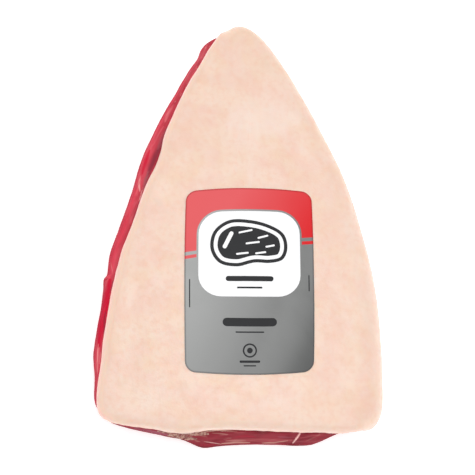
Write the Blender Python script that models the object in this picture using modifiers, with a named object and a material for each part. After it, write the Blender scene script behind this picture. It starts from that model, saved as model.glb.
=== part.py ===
"""A raw picanha: a wedge of lean beef under its cap of fat, with a printed label stuck on the fat.

Metres, +Z up. The piece lies on its lean side. +Y runs from the thick cut end to the tip.
Both pieces of meat are lofts: each column of points follows one profile of the side, from the middle
of the top, over the edge and in under the foot, and the columns stand round one outline.
"""

import math

import bmesh
import bpy
import numpy as np
from mathutils import Matrix

MM = 0.001

# Driving sizes, in millimetres.
TIP_Y = 151.0
CUT_Y = -132.0
HALF_WIDTH = 92.0
LEAN_HEIGHT_CUT = 38.5
LEAN_HEIGHT_TIP = 12.0
LEAN_TAPER = 1.7
LEAN_CROWN_DROP = 0.12
LEAN_RIGHT_DROP = 0.05
FAT_THICKNESS = 10.5
FAT_THIN_LEFT = 0.34
FAT_THIN_TIP = 0.22
GAP = 0.35

LABEL_CENTRE = (5.7, -34.2)
LABEL_SIZE = (81.2, 121.0)
LABEL_SKEW = (0.006, 0.032)
LABEL_BOW = (0.9, 2.4)
LABEL_CORNER = 6.5
LABEL_THICKNESS = 0.4
LABEL_FACET = 9.0

# How the side was made, all round the piece.
SEAM = "seam"
CUT = "cut"
WRAPPED = "wrapped"

# The fat's edge seen from above, anticlockwise from the tip: x and y, how far the lean swells out past
# the fat at half height and how far at its foot, and the kind of side there.
STATIONS = (
    (2.0, 150.9, 0.0, 0.0, WRAPPED),
    (-5.8, 147.2, 0.0, -1.0, WRAPPED),
    (-10.8, 141.9, 1.2, 0.0, SEAM),
    (-14.9, 135.8, 6.6, 3.0, SEAM),
    (-18.9, 129.5, 8.2, 4.5, SEAM),
    (-21.9, 123.3, 6.6, 3.5, SEAM),
    (-25.8, 115.7, 7.9, 4.5, SEAM),
    (-34.0, 101.0, 7.0, 4.0, SEAM),
    (-44.4, 76.0, 9.0, 4.5, SEAM),
    (-48.6, 64.0, 9.8, 4.8, SEAM),
    (-50.2, 55.0, 12.0, 6.5, SEAM),
    (-53.9, 43.5, 11.4, 6.5, SEAM),
    (-59.8, 31.0, 8.5, 4.8, SEAM),
    (-68.5, 3.5, 8.0, 4.2, SEAM),
    (-74.3, -12.5, 7.9, 4.8, SEAM),
    (-77.8, -26.0, 5.6, 2.1, SEAM),
    (-78.7, -29.4, 7.1, 4.8, SEAM),
    (-79.9, -36.0, 5.9, 3.8, SEAM),
    (-81.6, -45.0, 5.3, 3.0, SEAM),
    (-86.1, -75.0, 5.1, 2.3, SEAM),
    (-86.8, -86.0, 4.4, 1.8, SEAM),
    (-88.2, -96.5, 2.0, -0.8, SEAM),
    (-89.6, -110.6, 0.6, -4.0, SEAM),
    (-88.1, -122.0, -4.4, -8.5, SEAM),
    (-79.6, -127.8, -4.4, -8.5, CUT),
    (-60.0, -130.5, -2.4, -5.6, CUT),
    (-37.0, -133.8, -1.2, -4.6, CUT),
    (-29.0, -132.9, -0.3, -0.7, CUT),
    (-19.3, -131.2, 3.4, 4.9, CUT),
    (-8.0, -130.4, 3.2, 3.9, CUT),
    (16.0, -130.6, 1.9, 2.1, CUT),
    (44.0, -130.7, 1.8, 2.2, CUT),
    (54.5, -130.5, 1.2, -1.0, CUT),
    (66.0, -130.6, -3.9, -8.0, CUT),
    (77.0, -128.2, -5.0, -8.5, CUT),
    (86.4, -124.0, -1.0, -3.0, WRAPPED),
    (91.6, -117.6, 0.0, 0.0, WRAPPED),
    (93.3, -107.0, 0.0, 0.0, WRAPPED),
    (93.4, -88.0, 0.0, 0.0, WRAPPED),
    (92.5, -58.0, 0.0, 0.0, WRAPPED),
    (89.4, -27.0, 0.0, 0.0, WRAPPED),
    (82.4, 5.0, 0.0, 0.0, WRAPPED),
    (72.4, 40.0, 0.0, 0.0, WRAPPED),
    (57.0, 74.6, 0.0, 0.0, WRAPPED),
    (42.8, 103.4, 0.0, 0.0, WRAPPED),
    (27.3, 129.8, 0.0, 0.0, WRAPPED),
    (13.6, 146.2, 0.0, 0.0, WRAPPED),
)
COLUMNS_PER_STATION = 3

# The lean's side, from under the fat to the floor: distance out from the fat's edge, the shares that it
# takes of the swell and of the foot, and its height as a share of the lean's height there.
LEAN_LIP = 3
LEAN_SIDE = {
    SEAM: (
        (-17.0, 0.0, 0.0, 1.0),
        (-10.0, 0.0, 0.0, 0.99),
        (-5.0, 0.0, 0.0, 0.975),
        (-1.6, 0.0, 0.0, 0.94),
        (-0.4, 0.75, 0.0, 0.82),
        (0.0, 1.0, 0.0, 0.52),
        (-0.8, 0.0, 1.0, 0.15),
        (-6.0, 0.0, 1.0, 0.0),
    ),
    CUT: (
        (-17.0, 0.0, 0.0, 1.0),
        (-10.0, 0.0, 0.0, 0.995),
        (-5.0, 0.0, 0.0, 0.985),
        (-1.2, 0.0, 0.0, 0.965),
        (-0.3, 0.6, 0.0, 0.85),
        (0.0, 1.0, 0.0, 0.52),
        (-0.4, 0.0, 1.0, 0.1),
        (-4.5, 0.0, 1.0, 0.0),
    ),
    WRAPPED: (
        (-19.0, 0.0, 0.0, 1.0),
        (-13.0, 0.0, 0.0, 0.89),
        (-9.0, 0.0, 0.0, 0.66),
        (-6.8, 0.0, 0.0, 0.33),
        (-6.9, 0.2, 0.0, 0.24),
        (-7.5, 0.3, 0.3, 0.15),
        (-9.8, 0.0, 1.0, 0.05),
        (-14.5, 0.0, 1.0, 0.0),
    ),
}

# The fat's outer side, from its lip to the top: distance out, and its height as a share of the lean's
# height and a share of the fat's thickness.
FAT_SIDE = {
    SEAM: (
        (0.0, 0.955, 0.0),
        (0.35, 0.96, 0.38),
        (-0.3, 0.965, 0.74),
        (-2.8, 0.98, 0.96),
        (-9.0, 0.99, 1.0),
        (-17.0, 1.0, 1.0),
    ),
    CUT: (
        (0.0, 0.98, 0.0),
        (0.3, 0.98, 0.35),
        (-0.1, 0.98, 0.7),
        (-2.6, 0.985, 0.94),
        (-9.0, 0.995, 1.0),
        (-17.0, 1.0, 1.0),
    ),
    WRAPPED: (
        (-3.6, 0.22, 0.0),
        (-0.9, 0.42, 0.02),
        (0.0, 0.66, 0.08),
        (-2.4, 0.93, 0.4),
        (-9.0, 0.995, 0.86),
        (-19.0, 1.0, 1.0),
    ),
}

# Rows of points along the stretches of a column.
ROWS_UNDER_FAT = 6
ROWS_BARE = 8
ROWS_FAT_SIDE = 8
TOP_ROWS = (0.75, 0.5, 0.25)
PROFILE_STEPS = 8

CENTRE = (2.0, -40.0)
SPINE_Y = (-75.0, 100.0)
NORMAL_SHARE = 0.4
NARROW_REACH = 0.62
FULL_REACH_HEIGHT = 30.0


def lean_height(x, y):
    """Height of the lean under the fat: thick at the cut end, thin at the tip, lower to both sides."""
    along = np.clip((y - CUT_Y) / (TIP_Y - CUT_Y), 0, 1)
    height = LEAN_HEIGHT_TIP + (LEAN_HEIGHT_CUT - LEAN_HEIGHT_TIP) * (1 - along**LEAN_TAPER)
    crown = 1 - LEAN_CROWN_DROP * (x / HALF_WIDTH) ** 2
    return height * crown * (1 - LEAN_RIGHT_DROP * x / HALF_WIDTH)


def fat_thickness(x, y):
    """Thickness of the fat, thinner to the left and to the tip, with slow swells."""
    along = (y - CUT_Y) / (TIP_Y - CUT_Y)
    leftward = np.clip(-x / HALF_WIDTH, 0, 1)
    swells = 0.05 * np.sin(x / 17 + 0.8) * np.cos(y / 23) + 0.03 * np.sin(y / 13 + x / 31)
    return FAT_THICKNESS * (1 - FAT_THIN_LEFT * leftward**1.5 - FAT_THIN_TIP * along**2 + swells)


def smooth_loop(values, steps):
    """Points on a closed Catmull-Rom curve through the values, with this many steps in each span."""
    before = np.roll(values, 1, axis=0)
    after = np.roll(values, -1, axis=0)
    later = np.roll(values, -2, axis=0)
    rows = []
    for step in range(steps):
        t = step / steps
        rows.append(
            0.5
            * (
                2 * values
                + (after - before) * t
                + (2 * before - 5 * values + 4 * after - later) * t**2
                + (3 * values - before - 3 * after + later) * t**3
            )
        )
    return np.stack(rows, axis=1).reshape(-1, *values.shape[1:])


def smooth_line(values, steps):
    """Points on an open Catmull-Rom curve through the values."""
    ends = np.concatenate([2 * values[:1] - values[1:2], values, 2 * values[-1:] - values[-2:-1]])
    inner = smooth_loop(ends, steps)[steps : -2 * steps + 1]
    return inner


def resampled(line, count):
    """The line's points again, count of them, spaced evenly along it."""
    lengths = np.linalg.norm(np.diff(line, axis=0), axis=1)
    walked = np.concatenate([[0.0], np.cumsum(lengths)])
    wanted = np.linspace(0.0, walked[-1], count)
    return np.stack([np.interp(wanted, walked, line[:, axis]) for axis in range(line.shape[1])], axis=1)


def unit(vectors):
    return vectors / np.linalg.norm(vectors, axis=-1, keepdims=True)


def outline():
    """The outline's points, the way in from each one, and each column's own profiles."""
    places = np.array([station[:2] for station in STATIONS])
    extra = np.array([station[2:4] for station in STATIONS])
    lean = np.array([LEAN_SIDE[station[4]] for station in STATIONS])
    fat = np.array([FAT_SIDE[station[4]] for station in STATIONS])
    lean_out = lean[:, :, 0] + lean[:, :, 1] * extra[:, :1] + lean[:, :, 2] * extra[:, 1:]
    lean = np.stack([lean_out, lean[:, :, 3]], axis=2)

    places = smooth_loop(places, COLUMNS_PER_STATION)
    tangent = np.roll(places, -1, axis=0) - np.roll(places, 1, axis=0)
    normal = unit(np.stack([-tangent[:, 1], tangent[:, 0]], axis=1))
    spine_y = np.interp(places[:, 1], (CUT_Y, TIP_Y), SPINE_Y)
    to_spine = unit(np.stack([CENTRE[0] - places[:, 0], spine_y - places[:, 1]], axis=1))
    inward = unit(NORMAL_SHARE * normal + (1 - NORMAL_SHARE) * to_spine)
    return places, inward, smooth_loop(lean, COLUMNS_PER_STATION), smooth_loop(fat, COLUMNS_PER_STATION)


def in_space(place, inward, profile):
    """A column's points in space, from pairs of distance out and height."""
    plan = place - profile[:, :1] * inward
    return np.concatenate([plan, profile[:, 1:]], axis=1)


def columns():
    """For each column: the lean under the fat, the same a gap further out, the bare lean, the fat's side."""
    covered, lining, bare, fat_side = [], [], [], []
    for place, inward, lean, fat in zip(*outline()):
        inner = place - lean[0, 0] * inward
        height = lean_height(*inner)
        thickness = fat_thickness(*inner)
        reach = np.interp(height, (LEAN_HEIGHT_TIP, FULL_REACH_HEIGHT), (NARROW_REACH, 1.0))

        line = smooth_line(np.stack([lean[:, 0] * reach, lean[:, 1] * height], axis=1), PROFILE_STEPS)
        line[:, 1] = np.maximum(line[:, 1], 0.0)
        lip = LEAN_LIP * PROFILE_STEPS
        upper = resampled(line[: lip + 1], ROWS_UNDER_FAT)
        along = unit(np.gradient(upper, axis=0))
        outward = np.stack([-along[:, 1], along[:, 0]], axis=1)
        covered.append(in_space(place, inward, upper))
        lining.append(in_space(place, inward, upper + GAP * outward))
        bare.append(in_space(place, inward, resampled(line[lip:], ROWS_BARE)))

        fat_height = fat[:, 1] * height + fat[:, 2] * thickness + GAP
        line = smooth_line(np.stack([fat[:, 0] * reach, fat_height], axis=1), PROFILE_STEPS)
        fat_side.append(in_space(place, inward, resampled(line, ROWS_FAT_SIDE)))
    return [np.array(part) for part in (covered, lining, bare, fat_side)]


def top_rings(rim, height_at):
    """Rings that close a top in towards the centre: the rim drawn in, at the height of the surface there."""
    rings = []
    rim_rise = rim[:, 2] - height_at(rim[:, 0], rim[:, 1])
    for share in TOP_ROWS:
        plan = np.array(CENTRE) + share * (rim[:, :2] - np.array(CENTRE))
        height = height_at(plan[:, 0], plan[:, 1]) + share * rim_rise
        rings.append(np.concatenate([plan, height[:, None]], axis=1))
    middle = (*CENTRE, float(height_at(*CENTRE)))
    return rings, middle


def loft(name, rings, first, last, rising):
    """One closed mesh through the rings in turn, closed at each end by a point.

    The diagonals rise or fall, so that two facing skins whose rings run opposite ways have the same facets.
    """
    mesh = bmesh.new()
    start = mesh.verts.new([value * MM for value in first])
    rows = [[mesh.verts.new([value * MM for value in point]) for point in ring] for ring in rings]
    end = mesh.verts.new([value * MM for value in last])
    count = len(rows[0])
    for column in range(count):
        beside = (column + 1) % count
        mesh.faces.new((start, rows[0][column], rows[0][beside]))
        mesh.faces.new((end, rows[-1][beside], rows[-1][column]))
        for upper, lower in zip(rows, rows[1:]):
            corners = [upper[column], lower[column], lower[beside], upper[beside]]
            if rising:
                corners = corners[1:] + corners[:1]
            mesh.faces.new(corners[:3])
            mesh.faces.new((corners[2], corners[3], corners[0]))
    bmesh.ops.recalc_face_normals(mesh, faces=mesh.faces)
    data = bpy.data.meshes.new(name)
    mesh.to_mesh(data)
    mesh.free()
    data.shade_smooth()
    return bpy.data.objects.new(name, data)


def lean_meat(covered, bare):
    """The lean: its top under the fat, its bare side and the flat that it lies on."""
    rings, top = top_rings(covered[:, 0], lean_height)
    around = [covered[:, row] for row in range(ROWS_UNDER_FAT)]
    around += [bare[:, row] for row in range(1, ROWS_BARE)]
    return loft("lean_meat", rings[::-1] + around, top, (*CENTRE, 0.0), False)


def fat_cap(lining, fat_side):
    """The cap of fat: its top, its side down to the lip, and its underside along the lean."""

    def top_at(x, y):
        return lean_height(x, y) + fat_thickness(x, y) + GAP

    def lining_at(x, y):
        return lean_height(x, y) + GAP

    outer, top = top_rings(fat_side[:, -1], top_at)
    inner, under = top_rings(lining[:, 0], lining_at)
    around = [fat_side[:, row] for row in range(ROWS_FAT_SIDE - 1, -1, -1)]
    around += [lining[:, row] for row in range(ROWS_UNDER_FAT - 1, -1, -1)]
    return loft("fat_cap", outer[::-1] + around + inner, top, under, True)


def label_outline():
    """The label's outline, centred: rounded corners, and each side bowed out a little."""
    half_width, half_height = LABEL_SIZE[0] / 2, LABEL_SIZE[1] / 2
    corners = (
        (half_width - LABEL_CORNER, half_height - LABEL_CORNER, 0),
        (LABEL_CORNER - half_width, half_height - LABEL_CORNER, 90),
        (LABEL_CORNER - half_width, LABEL_CORNER - half_height, 180),
        (half_width - LABEL_CORNER, LABEL_CORNER - half_height, 270),
    )
    points = []
    for x, y, start in corners:
        for step in range(5):
            angle = math.radians(start + 90 * step / 4)
            points.append((x + LABEL_CORNER * math.cos(angle), y + LABEL_CORNER * math.sin(angle)))
    bowed = []
    for here, there in zip(points, points[1:] + points[:1]):
        steps = max(1, round(math.dist(here, there) / LABEL_FACET))
        for step in range(steps):
            x = here[0] + (there[0] - here[0]) * step / steps
            y = here[1] + (there[1] - here[1]) * step / steps
            side = LABEL_BOW[0] * (1 - (y / half_height) ** 2) * x / half_width
            end = LABEL_BOW[1] * (1 - (x / half_width) ** 2) * y / half_height
            bowed.append((x + side, y + end))
    return bowed


def label(fat):
    """The label: a flat sheet cut into facets, laid down on the fat by Shrinkwrap and thickened."""
    mesh = bmesh.new()
    mesh.faces.new([mesh.verts.new((x * MM, y * MM, 0)) for x, y in label_outline()])
    for axis, size in enumerate(LABEL_SIZE):
        cuts = round(size / LABEL_FACET)
        for cut in range(1, cuts):
            place = [0.0, 0.0, 0.0]
            place[axis] = (cut / cuts - 0.5) * size * MM
            direction = [float(axis == other) for other in range(3)]
            parts = mesh.verts[:] + mesh.edges[:] + mesh.faces[:]
            bmesh.ops.bisect_plane(mesh, geom=parts, plane_co=place, plane_no=direction)
    bmesh.ops.triangulate(mesh, faces=mesh.faces)
    data = bpy.data.meshes.new("label")
    mesh.to_mesh(data)
    mesh.free()
    piece = bpy.data.objects.new("label", data)
    above = 2 * (LEAN_HEIGHT_CUT + FAT_THICKNESS)
    place = Matrix.Translation([value * MM for value in (*LABEL_CENTRE, above)])
    skew = Matrix.Identity(4)
    skew[0][1], skew[1][0] = LABEL_SKEW
    data.transform(place @ skew)
    drape = piece.modifiers.new("drape", "SHRINKWRAP")
    drape.target = fat
    drape.wrap_method = "PROJECT"
    drape.use_project_z = True
    drape.use_negative_direction = True
    drape.use_positive_direction = False
    drape.offset = GAP * MM
    sheet = piece.modifiers.new("sheet", "SOLIDIFY")
    sheet.thickness = LABEL_THICKNESS * MM
    sheet.offset = 1.0
    return piece


def material(name, colour, roughness, metallic=0.0):
    made = bpy.data.materials.new(name)
    made.use_nodes = True
    shader = made.node_tree.nodes["Principled BSDF"]
    shader.inputs["Base Color"].default_value = (*colour, 1.0)
    shader.inputs["Roughness"].default_value = roughness
    shader.inputs["Metallic"].default_value = metallic
    return made


def centre_on_floor(pieces):
    """Moves the meshes so that the whole's box stands centred on the origin."""
    points = np.array([vertex.co for piece in pieces for vertex in piece.data.vertices])
    low, high = points.min(axis=0), points.max(axis=0)
    return (-(low[0] + high[0]) / 2, -(low[1] + high[1]) / 2, -low[2])


def main():
    for old in list(bpy.data.objects):
        bpy.data.objects.remove(old)
    parts = bpy.data.collections.new("picanha")
    bpy.context.scene.collection.children.link(parts)

    covered, lining, bare, fat_side = columns()
    lean = lean_meat(covered, bare)
    fat = fat_cap(lining, fat_side)
    shift = Matrix.Translation(centre_on_floor((lean, fat)))
    sticker = label(fat)
    for piece in (lean, fat, sticker):
        piece.data.transform(shift)
        parts.objects.link(piece)

    lean.data.materials.append(material("raw beef", (0.42, 0.035, 0.05), 0.35))
    fat.data.materials.append(material("beef fat", (0.93, 0.68, 0.55), 0.45))
    sticker.data.materials.append(material("silver film", (0.4, 0.41, 0.4), 0.35, 0.3))


main()
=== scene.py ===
"""The looks of a raw picanha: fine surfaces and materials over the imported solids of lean, fat and label.

Metres, +Z up. The piece lies on its lean side with the tip towards +Y, and the camera looks down on the fat.
"""

import itertools
import math

import bmesh
import bpy
import numpy as np
from mathutils import Matrix, Vector
from mathutils.bvhtree import BVHTree
from mathutils.geometry import convex_hull_2d, delaunay_2d_cdt


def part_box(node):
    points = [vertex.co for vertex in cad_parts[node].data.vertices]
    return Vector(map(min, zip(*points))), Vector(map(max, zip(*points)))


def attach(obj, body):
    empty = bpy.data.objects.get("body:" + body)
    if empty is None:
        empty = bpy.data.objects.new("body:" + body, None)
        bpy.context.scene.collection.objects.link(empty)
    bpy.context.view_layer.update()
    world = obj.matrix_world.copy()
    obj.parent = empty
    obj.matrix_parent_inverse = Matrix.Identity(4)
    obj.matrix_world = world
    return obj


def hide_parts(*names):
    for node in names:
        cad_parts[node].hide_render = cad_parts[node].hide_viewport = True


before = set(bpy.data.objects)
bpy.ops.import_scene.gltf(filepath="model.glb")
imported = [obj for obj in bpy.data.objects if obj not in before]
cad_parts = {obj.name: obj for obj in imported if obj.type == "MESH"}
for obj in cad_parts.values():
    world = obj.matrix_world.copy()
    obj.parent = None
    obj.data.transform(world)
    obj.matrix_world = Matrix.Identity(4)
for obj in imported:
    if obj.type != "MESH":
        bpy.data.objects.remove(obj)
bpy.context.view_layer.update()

MM = 0.001

# The photograph's view: its side in pixels, how far the camera stands off the vertical in degrees, to the
# left and towards the cut end, and its distance, target and width.
PHOTO_SIDE = 475
VIEW_LEFT = 6.0
VIEW_DOWN = 17.0
VIEW_DISTANCE = 1.6
VIEW_TARGET = Vector((-0.00093, -0.00814, 0.025))
VIEW_WIDTH = 0.3065
SENSOR = 36.0

# The lean's height along its length, in millimetres, as in the solids.
TIP_Y = 143.4
CUT_Y = -139.6
LEAN_HEIGHT_CUT = 38.5
LEAN_HEIGHT_TIP = 12.0
LEAN_TAPER = 1.7


def smooth_step(low, high, values):
    share = np.clip((values - low) / (high - low), 0.0, 1.0)
    return share * share * (3 - 2 * share)


def unit(vectors):
    return vectors / np.maximum(np.linalg.norm(vectors, axis=-1, keepdims=True), 1e-12)


def gradient_noise(points, seed):
    """Smooth noise with one wave for each unit of length, mostly between -0.6 and 0.6."""
    size = 256
    rng = np.random.default_rng(seed)
    table = rng.permutation(size)
    slopes = unit(rng.normal(size=(size, 3)))
    cell = np.floor(points).astype(int)
    part = points - cell
    fade = part**3 * (part * (part * 6 - 15) + 10)
    total = np.zeros(len(points))
    for corner in itertools.product((0, 1), repeat=3):
        place = (cell + corner) % size
        index = table[(table[(table[place[:, 0]] + place[:, 1]) % size] + place[:, 2]) % size]
        weight = np.where(corner, fade, 1 - fade).prod(axis=1)
        total += weight * np.einsum("ij,ij->i", slopes[index], part - corner)
    return total


def layered_noise(points, seed, layers=3):
    return sum(0.5**layer * gradient_noise(points * 2**layer, seed + layer) for layer in range(layers))


# The camera, and strokes painted where it sees them.

# A stroke's width at its ends, and how far from its middle it starts to fade, as shares of its width.
STROKE_END = 0.4
STROKE_FADE = 0.1


def view_axes():
    """The view's right, up and back directions."""
    back = Vector((-math.sin(math.radians(VIEW_LEFT)), -math.sin(math.radians(VIEW_DOWN)), 0.0))
    back.z = math.sqrt(1 - back.length_squared)
    up = (Vector((0.0, 1.0, 0.0)) - back.y * back).normalized()
    return up.cross(back), up, back


def make_camera():
    right, up, back = view_axes()
    data = bpy.data.cameras.new("view")
    data.sensor_width = SENSOR
    data.lens = SENSOR * VIEW_DISTANCE / VIEW_WIDTH
    camera = bpy.data.objects.new("view", data)
    camera.matrix_world = Matrix.Translation(VIEW_TARGET + VIEW_DISTANCE * back) @ Matrix(
        (right, up, back)
    ).transposed().to_4x4()
    bpy.context.scene.collection.objects.link(camera)
    bpy.context.scene.camera = camera


def shown_at(points):
    """Where the points show in the photograph, in its pixels."""
    right, up, back = (np.array(axis) for axis in view_axes())
    offset = points - np.array(VIEW_TARGET)
    scale = PHOTO_SIDE / VIEW_WIDTH * VIEW_DISTANCE / (VIEW_DISTANCE - offset @ back)
    return PHOTO_SIDE / 2 + np.stack([offset @ right * scale, -(offset @ up) * scale], axis=1)


def stroke(shown, line, width):
    """How much of a brush stroke lies on each place: 1 in its middle, 0 past its width, with thin ends."""
    line = np.array(line, float)
    spans = np.diff(line, axis=0)
    lengths = np.linalg.norm(spans, axis=1)
    walked = np.concatenate([[0.0], np.cumsum(lengths)]) / lengths.sum()
    cover = np.zeros(len(shown))
    for start, span, length, begin, end in zip(line, spans, lengths, walked, walked[1:]):
        share = np.clip((shown - start) @ span / length**2, 0, 1)
        away = np.linalg.norm(shown - start - share[:, None] * span, axis=1)
        taper = STROKE_END + (1 - STROKE_END) * np.sin(math.pi * (begin + share * (end - begin)))
        cover = np.maximum(cover, 1 - smooth_step(STROKE_FADE, 1.0, away / (width * taper)))
    return cover


def painted(shown, strokes):
    """All the strokes of one kind together, each with its half width in pixels and its strength."""
    return np.clip(sum(strength * stroke(shown, line, width) for line, width, strength in strokes), 0, 1)


# Meshes, and places on them.

# Corners closer than this are one, in metres.
WELD = 1e-6
# The shortest span of an outline, in metres.
LEAST_SPAN = 0.1 * MM
# How many points are set against an outline at a time.
BATCH = 5000


def points_of(mesh):
    values = np.empty(len(mesh.vertices) * 3, np.float32)
    mesh.vertices.foreach_get("co", values)
    return values.reshape(-1, 3).astype(float)


def normals_of(mesh):
    values = np.empty(len(mesh.vertices) * 3, np.float32)
    mesh.vertex_normals.foreach_get("vector", values)
    return values.reshape(-1, 3).astype(float)


def set_points(mesh, points):
    mesh.vertices.foreach_set("co", points.astype(np.float32).ravel())
    mesh.update()


def set_values(mesh, name, values):
    kind, key = ("FLOAT_VECTOR", "vector") if values.ndim == 2 else ("FLOAT", "value")
    layer = mesh.attributes.new(name, kind, "POINT")
    layer.data.foreach_set(key, values.astype(np.float32).ravel())


def faces_of(mesh):
    """The middles and normals of a mesh's faces."""
    values = np.empty((2, len(mesh.polygons) * 3), np.float32)
    mesh.polygons.foreach_get("center", values[0])
    mesh.polygons.foreach_get("normal", values[1])
    return values.reshape(2, -1, 3).astype(float)


def fine_copy(node, name, *rounds):
    """A copy of a solid, its triangles joined to quads and rounded, and made finer in rounds.

    Each round says, from the faces' middles and normals, which of them are cut in four.
    """
    mesh = bmesh.new()
    mesh.from_mesh(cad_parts[node].data)
    bmesh.ops.remove_doubles(mesh, verts=mesh.verts, dist=WELD)
    bmesh.ops.join_triangles(
        mesh, faces=mesh.faces, angle_face_threshold=math.pi, angle_shape_threshold=math.pi
    )
    data = bpy.data.meshes.new(name)
    mesh.to_mesh(data)
    mesh.free()
    piece = bpy.data.objects.new(name, data)
    bpy.context.scene.collection.objects.link(piece)
    rounded = piece.modifiers.new("rounded", "SUBSURF")
    rounded.levels = rounded.render_levels = 2
    graph = bpy.context.evaluated_depsgraph_get()
    data = bpy.data.meshes.new_from_object(piece.evaluated_get(graph))
    piece.modifiers.clear()

    for wanted in rounds:
        chosen = np.flatnonzero(wanted(*faces_of(data)))
        mesh = bmesh.new()
        mesh.from_mesh(data)
        mesh.faces.ensure_lookup_table()
        edges = list({edge for index in chosen for edge in mesh.faces[index].edges})
        bmesh.ops.subdivide_edges(mesh, edges=edges, cuts=1, use_grid_fill=True)
        mesh.to_mesh(data)
        mesh.free()
    data.shade_smooth()
    data.name = name
    piece.data = data
    return piece


def tree_of(mesh):
    mesh.calc_loop_triangles()
    faces = np.empty(len(mesh.loop_triangles) * 3, np.int32)
    mesh.loop_triangles.foreach_get("vertices", faces)
    return BVHTree.FromPolygons(points_of(mesh).tolist(), faces.reshape(-1, 3).tolist())


class Outline:
    """The piece's outline seen from above, walked anticlockwise from its rightmost corner."""

    def __init__(self, points):
        plan = points[:, :2]
        corners = plan[convex_hull_2d([tuple(point) for point in plan])]
        corners = corners[np.linalg.norm(np.roll(corners, -1, axis=0) - corners, axis=1) > LEAST_SPAN]
        area = np.cross(corners, np.roll(corners, -1, axis=0)).sum()
        corners = corners if area > 0 else corners[::-1]
        self.starts = np.roll(corners, -int(np.argmax(corners[:, 0])), axis=0)
        self.spans = np.roll(self.starts, -1, axis=0) - self.starts
        self.lengths = np.linalg.norm(self.spans, axis=1)
        self.walked = np.concatenate([[0.0], np.cumsum(self.lengths)[:-1]])

    def place(self, points):
        """For each point: how far round the outline it is, how far out, and which way out is."""
        walk, out, facing = [], [], []
        for some in np.array_split(points[:, :2], max(1, len(points) // BATCH)):
            offset = some[:, None] - self.starts
            share = np.clip((offset * self.spans).sum(axis=2) / self.lengths**2, 0.0, 1.0)
            away = offset - share[:, :, None] * self.spans
            nearest = np.linalg.norm(away, axis=2).argmin(axis=1)
            rows = np.arange(len(some))
            span = self.spans[nearest] / self.lengths[nearest, None]
            normal = np.stack([span[:, 1], -span[:, 0]], axis=1)
            walk.append(self.walked[nearest] + share[rows, nearest] * self.lengths[nearest])
            out.append((away[rows, nearest] * normal).sum(axis=1))
            facing.append(normal)
        return np.concatenate(walk), np.concatenate(out), np.concatenate(facing)


def lean_height(points):
    """How high the lean stands where each point is along its length."""
    along = np.clip((points[:, 1] / MM - CUT_Y) / (TIP_Y - CUT_Y), 0, 1)
    return (LEAN_HEIGHT_TIP + (LEAN_HEIGHT_CUT - LEAN_HEIGHT_TIP) * (1 - along**LEAN_TAPER)) * MM


# The lean meat.

# What marks the lean where the photograph shows it: lines of pixels, each with half a width in pixels and
# a strength. Pale marks are membrane and fat, with a few painted glints on the lobes, sinews the same but
# firm and thin, glossy ones painted highlights on the wet crests, vivid ones the freshest red, violet ones
# mostly painted purple shade in the hollow beside the fat, partly thin skin, dark ones painted shade in
# hollows and folds and painted shadow under the fat's edge, and torn ones ragged membrane.
PALE = (
    (((140.5, 176), (139, 184), (140, 191)), 1.7, 0.75),
    (((151, 140), (147, 148)), 1.0, 0.35),
    (((110.5, 262), (112.5, 274)), 0.8, 0.25),
    (((98.5, 344), (98, 352), (97.5, 362), (97.8, 374)), 1.0, 0.55),
    (((100.5, 352), (99.5, 364)), 0.8, 0.35),
    # These three short marks are painted glints on the lobes' crests.
    (((206, 47), (205, 48.5)), 0.8, 0.6),
    (((197.5, 68), (196.5, 69.5)), 0.8, 0.7),
    (((176, 101), (174.5, 102.5)), 0.9, 0.5),
    (((222, 443.5), (234, 442.5), (250, 442.5)), 1.7, 0.85),
    (((226, 441), (236, 440), (246, 440.5)), 1.7, 0.35),
    (((262, 443), (275, 442.5), (288, 440.5)), 1.3, 0.8),
    (((195, 440.5), (200, 441.5)), 1.0, 0.4),
    (((207, 431.5), (215, 430), (225, 430.5), (237, 431)), 1.2, 1.0),
    (((212, 433), (220, 433.5), (228, 434.5)), 0.9, 0.6),
    (((193, 434.5), (201, 435.5), (207, 437)), 1.1, 0.35),
    (((306, 441), (312, 438.5), (320, 434)), 1.3, 0.2),
    (((320, 433), (331, 432.5)), 0.9, 0.3),
)
SINEW = (
    (((301, 431.5), (297.5, 437), (293, 443)), 1.3, 1.3),
    (((204, 441.5), (212, 442.5), (221, 444)), 0.7, 0.6),
    (((142.5, 188), (141, 195), (139, 201)), 0.8, 0.7),
)
# Painted highlights on the wet crests of the lean.
PAINTED_HIGHLIGHTS = (
    (((207, 45), (204, 52), (201, 58)), 2.2, 0.6),
    (((197, 66), (192, 76), (187, 84)), 1.5, 0.4),
    (((184, 86), (179, 95)), 1.0, 0.25),
    (((173, 105), (168, 113), (165, 122)), 2.6, 0.6),
    (((163, 127), (157, 137), (151, 147), (148, 158)), 1.5, 0.5),
    (((140, 172), (138, 186), (137, 196)), 1.3, 0.4),
    (((132, 198), (127, 212), (122, 225)), 2.0, 0.15),
    (((121, 228), (117, 240), (113, 255)), 2.4, 0.1),
    (((107.5, 285), (107, 293)), 1.1, 0.45),
    (((99.5, 346), (98.5, 358), (98, 372)), 2.4, 0.6),
    (((97.5, 380), (97.5, 396)), 1.4, 0.3),
    (((224, 439.5), (250, 440), (292, 440)), 2.4, 0.75),
    (((234, 432.5), (246, 432)), 1.1, 0.7),
    (((300, 438), (318, 435), (326, 433)), 1.8, 0.5),
)
VIVID = (
    (((134, 196), (124, 226), (113, 256), (109.5, 276)), 5.0, 0.3),
    (((150, 150), (145.5, 162), (142, 174)), 2.6, 0.9),
    (((110, 280), (106.5, 298), (103, 318), (100.5, 334), (99, 346)), 6.5, 1.3),
    (((195, 72), (190, 80)), 1.6, 0.4),
    (((236, 437), (246, 436), (256, 437)), 2.2, 0.5),
    (((200, 445), (208, 445), (216, 444.5)), 1.6, 0.5),
)
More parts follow.
